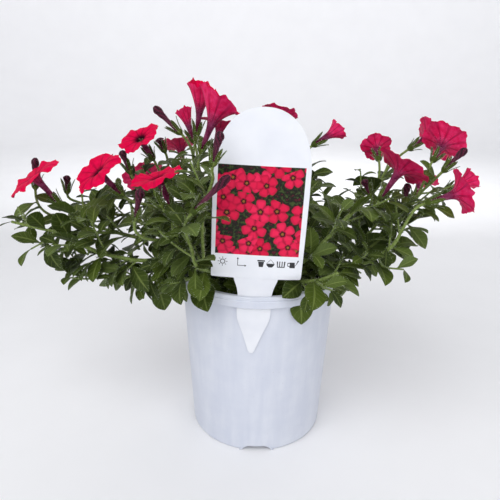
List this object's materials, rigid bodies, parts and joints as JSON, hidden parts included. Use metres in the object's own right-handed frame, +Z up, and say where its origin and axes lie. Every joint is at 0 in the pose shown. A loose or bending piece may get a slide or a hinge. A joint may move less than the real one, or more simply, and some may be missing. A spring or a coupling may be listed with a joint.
{
  "type": "potted petunia",
  "caption": "Potted petunia in bloom: crimson trumpet flowers and dark buds on leafy, sprawling stems, in a white nursery pot of soil with a white plant label held in the rim.",
  "frame": {"origin": "centre of the pot's flat base, on the surface it stands on", "axes": "+Z up along the pot's axis; -Y towards the front, where the label is held in the rim; +X to the right seen from the front"},
  "size_m": [0.3219, 0.1981, 0.2551],
  "materials": {
    "pot_plastic": "satin white polypropylene",
    "potting_soil": "damp dark peat and bark mix",
    "label_plastic": null,
    "leaf_and_stem": "soft, finely hairy green leaf",
    "petal": "velvety crimson petal",
    "bud": "hairy dark maroon bud"
  },
  "bodies": {
    "root": {"pot": "pot_plastic", "soil": "potting_soil", "label": "label_plastic", "stem_left_far": "leaf_and_stem", "stem_left_mid": "leaf_and_stem", "stem_left_back": "leaf_and_stem", "stem_left_high": "leaf_and_stem", "stem_left_front": "leaf_and_stem", "stem_label_left": "leaf_and_stem", "stem_top_left": "leaf_and_stem", "stem_top_right": "leaf_and_stem", "stem_behind_label": "leaf_and_stem", "stem_back_high": "leaf_and_stem", "stem_right_inner": "leaf_and_stem", "stem_right_front": "leaf_and_stem", "stem_right_long": "leaf_and_stem", "stem_right_low": "leaf_and_stem", "stem_right_back": "leaf_and_stem", "stem_right_rear": "leaf_and_stem", "stem_back": "leaf_and_stem", "stem_back_right": "leaf_and_stem", "stem_back_left": "leaf_and_stem", "stem_trailing_left": "leaf_and_stem", "stem_left_low": "leaf_and_stem", "stem_front_left_low": "leaf_and_stem", "stem_front_right_low": "leaf_and_stem", "stem_rear_low": "leaf_and_stem", "bloom_left_far": "petal", "bloom_left_mid": "petal", "bloom_left_high": "petal", "bloom_left_front": "petal", "bloom_top": "petal", "bloom_top_right": "petal", "bloom_behind_label": "petal", "bloom_label_top": "petal", "bloom_right_round": "petal", "bloom_right_side": "petal", "bloom_right_high": "petal", "bloom_right_behind": "petal", "bloom_right_far_side": "petal", "bloom_right_low": "petal", "bloom_back": "petal", "bloom_back_right": "petal", "bloom_back_left": "petal", "bloom_back_high": "petal", "half_label_right": "petal", "half_right_far": "petal", "half_top_left": "petal", "bud_left_far": "bud", "bud_left_pale": "bud", "bud_left_high": "bud", "bud_left_front": "bud", "bud_top_left": "bud", "bud_crinkled": "bud", "bud_label_upper": "bud", "bud_label_lower": "bud", "bud_right_high": "bud", "bud_right_mid": "bud", "bud_right_inner": "bud"}
  },
  "joints": []
}
